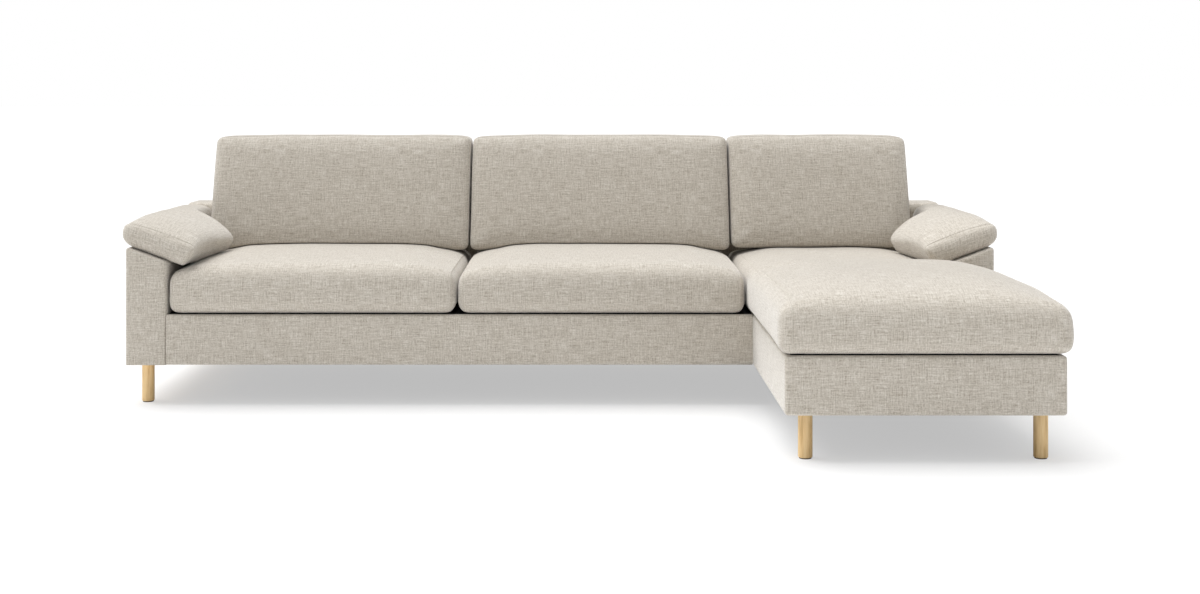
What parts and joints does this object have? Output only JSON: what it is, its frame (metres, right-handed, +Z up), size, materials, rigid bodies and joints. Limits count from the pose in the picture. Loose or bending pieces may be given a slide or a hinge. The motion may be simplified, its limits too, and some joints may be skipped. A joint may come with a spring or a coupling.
{
  "type": "sectional sofa with chaise",
  "caption": "Upholstered sectional sofa with a chaise on its right, loose seat, back and arm cushions, low sloping arms and round oak legs.",
  "frame": {"origin": "centre of the whole sofa's footprint, at the floor", "axes": "+X to the chaise end seen from the front, +Y to the back, +Z up"},
  "size_m": [2.8414, 1.778, 0.8555],
  "materials": {
    "upholstery": "flat melange weave",
    "frame_timber": "sawn",
    "leg_oak": "matt oiled oak",
    "webbing": "woven strap",
    "lining_cloth": "non-woven",
    "glide_plastic": "matt",
    "hardware_steel": "zinc plated"
  },
  "bodies": {
    "frame": {"sofa_front_border": "upholstery", "sofa_rear_border": "upholstery", "chaise_front_border": "upholstery", "chaise_left_border": "upholstery", "chaise_right_border": "upholstery", "chaise_rear_border": "upholstery", "left_arm_cover": "upholstery", "right_arm_cover": "upholstery", "sofa_back_cover": "upholstery", "chaise_back_cover": "upholstery", "sofa_front_rail": "frame_timber", "sofa_rear_rail": "frame_timber", "sofa_left_end_rail": "frame_timber", "sofa_right_end_rail": "frame_timber", "sofa_cross_rails": "frame_timber", "chaise_left_rail": "frame_timber", "chaise_front_rail": "frame_timber", "chaise_right_rail": "frame_timber", "chaise_return_rail": "frame_timber", "chaise_arm_rail": "frame_timber", "chaise_rear_rail": "frame_timber", "chaise_cross_rails": "frame_timber", "leg_corner_blocks": "frame_timber", "left_arm_bottom_rail": "frame_timber", "left_arm_board": "frame_timber", "right_arm_bottom_rail": "frame_timber", "right_arm_board": "frame_timber", "sofa_back_top_rail": "frame_timber", "sofa_back_posts": "frame_timber", "chaise_back_top_rail": "frame_timber", "chaise_back_posts": "frame_timber", "front_legs": "leg_oak", "rear_legs": "leg_oak", "sofa_seat_webbing": "webbing", "chaise_seat_webbing": "webbing", "sofa_deck_cloth": "lining_cloth", "sofa_dust_cover": "lining_cloth", "chaise_deck_cloth": "lining_cloth", "chaise_dust_cover": "lining_cloth", "leg_glides": "glide_plastic", "leg_hanger_bolts": "hardware_steel", "arm_bolts": "hardware_steel", "module_joining_plates": "hardware_steel"},
    "seat_left": {"seat_cushion_left": "upholstery"},
    "seat_middle": {"seat_cushion_middle": "upholstery"},
    "chaise_pad": {"chaise_cushion": "upholstery"},
    "back_left": {"back_cushion_left": "upholstery"},
    "back_middle": {"back_cushion_middle": "upholstery"},
    "back_right": {"back_cushion_right": "upholstery"},
    "pillow_left": {"arm_pillow_left": "upholstery"},
    "pillow_right": {"arm_pillow_right": "upholstery"}
  },
  "joints": [
    {"name": "seat_left_lift_off", "type": "slide", "parent": "frame", "child": "seat_left", "axis": [0, -1, 0], "range_m": [0, 0.82]},
    {"name": "seat_middle_lift_off", "type": "slide", "parent": "frame", "child": "seat_middle", "axis": [0, -1, 0], "range_m": [0, 0.82]},
    {"name": "chaise_pad_lift_off", "type": "slide", "parent": "frame", "child": "chaise_pad", "axis": [0, -1, 0], "range_m": [0, 1.68]},
    {"name": "back_left_lift_off", "type": "slide", "parent": "frame", "child": "back_left", "axis": [0, 0.342, 0.9397], "range_m": [0, 0.45]},
    {"name": "back_middle_lift_off", "type": "slide", "parent": "frame", "child": "back_middle", "axis": [0, 0.342, 0.9397], "range_m": [0, 0.45]},
    {"name": "back_right_lift_off", "type": "slide", "parent": "frame", "child": "back_right", "axis": [0, 0.342, 0.9397], "range_m": [0, 0.45]},
    {"name": "pillow_left_lift_off", "type": "slide", "parent": "frame", "child": "pillow_left", "axis": [0, 0, 1], "range_m": [0, 0.2]},
    {"name": "pillow_right_lift_off", "type": "slide", "parent": "frame", "child": "pillow_right", "axis": [0, 0, 1], "range_m": [0, 0.2]}
  ]
}
